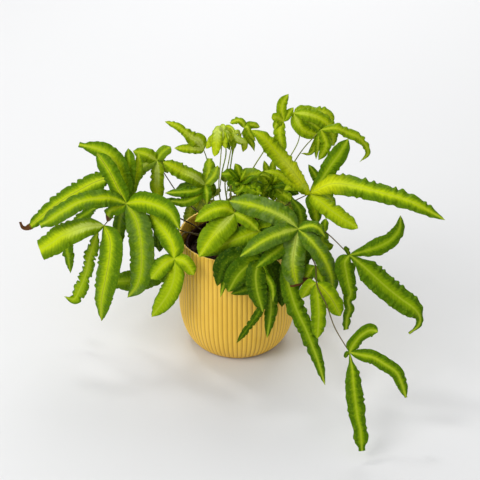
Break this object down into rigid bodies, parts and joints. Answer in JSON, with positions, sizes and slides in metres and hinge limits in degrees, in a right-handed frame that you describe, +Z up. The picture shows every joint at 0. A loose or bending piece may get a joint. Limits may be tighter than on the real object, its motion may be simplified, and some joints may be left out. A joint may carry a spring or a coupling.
{
  "type": "potted brake fern",
  "caption": "Arching brake fern with long waved banded leaflets, growing in a plain nursery pot inside a ribbed round cover pot.",
  "frame": {"origin": "middle of the cover pot's flat foot, on the surface it stands on", "axes": "+Z up; the side of the plant that the picture shows faces -Y"},
  "size_m": [0.4794, 0.3841, 0.3154],
  "materials": {
    "cover_plastic": "satin moulded plastic, mustard yellow",
    "nursery_plastic": "thin glossy dark brown plastic",
    "potting_soil": "moist crumbly potting soil",
    "rootstock": "brown scaly rootstock",
    "mature_leaf": "satin leaf, dark green with a pale yellow-green band",
    "young_leaf": "thin bright yellow-green young leaf"
  },
  "bodies": {
    "root": {"cover_pot": "cover_plastic", "nursery_pot": "nursery_plastic", "soil": "potting_soil", "crown": "rootstock", "frond_left_front": "mature_leaf", "frond_left_back": "mature_leaf", "frond_left_low": "mature_leaf", "frond_left_under": "mature_leaf", "frond_upper_left": "mature_leaf", "frond_upper_left_young": "young_leaf", "frond_tuft_left": "young_leaf", "frond_tuft_right": "young_leaf", "frond_top_left": "young_leaf", "frond_right": "mature_leaf", "frond_top_spray": "young_leaf", "frond_top_right": "young_leaf", "frond_far_right": "young_leaf", "frond_middle_left": "mature_leaf", "frond_middle_right": "mature_leaf", "frond_front_left": "mature_leaf", "frond_front": "mature_leaf", "frond_front_under": "mature_leaf", "frond_front_trailing": "mature_leaf", "frond_right_trailing": "mature_leaf", "frond_right_low": "mature_leaf", "frond_back_upright_left": "mature_leaf", "frond_back_upright_right": "mature_leaf", "frond_back_left": "mature_leaf", "frond_back": "mature_leaf", "frond_back_right": "mature_leaf"}
  },
  "joints": []
}
